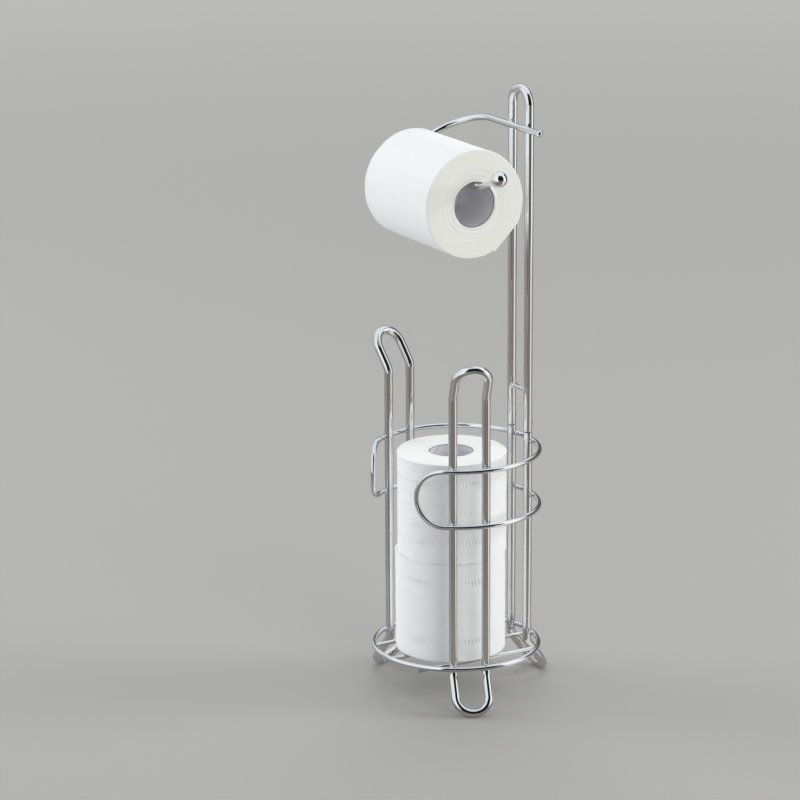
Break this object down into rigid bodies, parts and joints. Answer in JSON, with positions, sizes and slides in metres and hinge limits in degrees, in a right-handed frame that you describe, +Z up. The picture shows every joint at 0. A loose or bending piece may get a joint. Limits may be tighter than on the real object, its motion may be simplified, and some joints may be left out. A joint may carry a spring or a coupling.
{
  "type": "freestanding toilet paper holder",
  "caption": "Freestanding toilet paper holder of chromed wire: a post with an arm for the roll in use, over a round open store of spare rolls.",
  "frame": {"origin": "on the floor, under the middle of the whole holder's bounding box", "axes": "+Z up; the post stands at +Y, the open front of the store is at -Y, and the arm's free end with its ball points to +X"},
  "size_m": [0.2184, 0.1834, 0.592],
  "materials": {
    "chrome": "polished",
    "fastener_steel": "satin",
    "tissue": "matte",
    "core_card": "matte"
  },
  "bodies": {
    "frame": {"upper_post": "chrome", "lower_post": "chrome", "post_brace": "chrome", "joining_pin_left": "fastener_steel", "joining_pin_right": "fastener_steel", "lock_screw_left": "fastener_steel", "lock_screw_right": "fastener_steel", "left_hoop": "chrome", "right_hoop": "chrome", "base_ring": "chrome", "store_band": "chrome", "base_bar_left": "chrome", "base_bar_middle": "chrome", "base_bar_right": "chrome", "roll_arm": "chrome", "arm_ball": "chrome", "arm_end_cap": "chrome"},
    "hung_roll": {"hung_roll_core": "core_card", "hung_roll_paper": "tissue"},
    "lower_spare_roll": {"lower_spare_core": "core_card", "lower_spare_paper": "tissue"},
    "upper_spare_roll": {"upper_spare_core": "core_card", "upper_spare_paper": "tissue"}
  },
  "joints": [
    {"name": "roll_spin", "type": "hinge", "parent": "frame", "child": "hung_roll", "pos_m": [-0.00114, -0.02974, 0.4985], "axis": [1, 0, 0], "continuous": true},
    {"name": "lower_spare_lift", "type": "slide", "parent": "frame", "child": "lower_spare_roll", "axis": [0, 0, 1], "range_m": [0, 0.09]},
    {"name": "upper_spare_lift", "type": "slide", "parent": "lower_spare_roll", "child": "upper_spare_roll", "axis": [0, 0, 1], "range_m": [0, 0.106]}
  ]
}
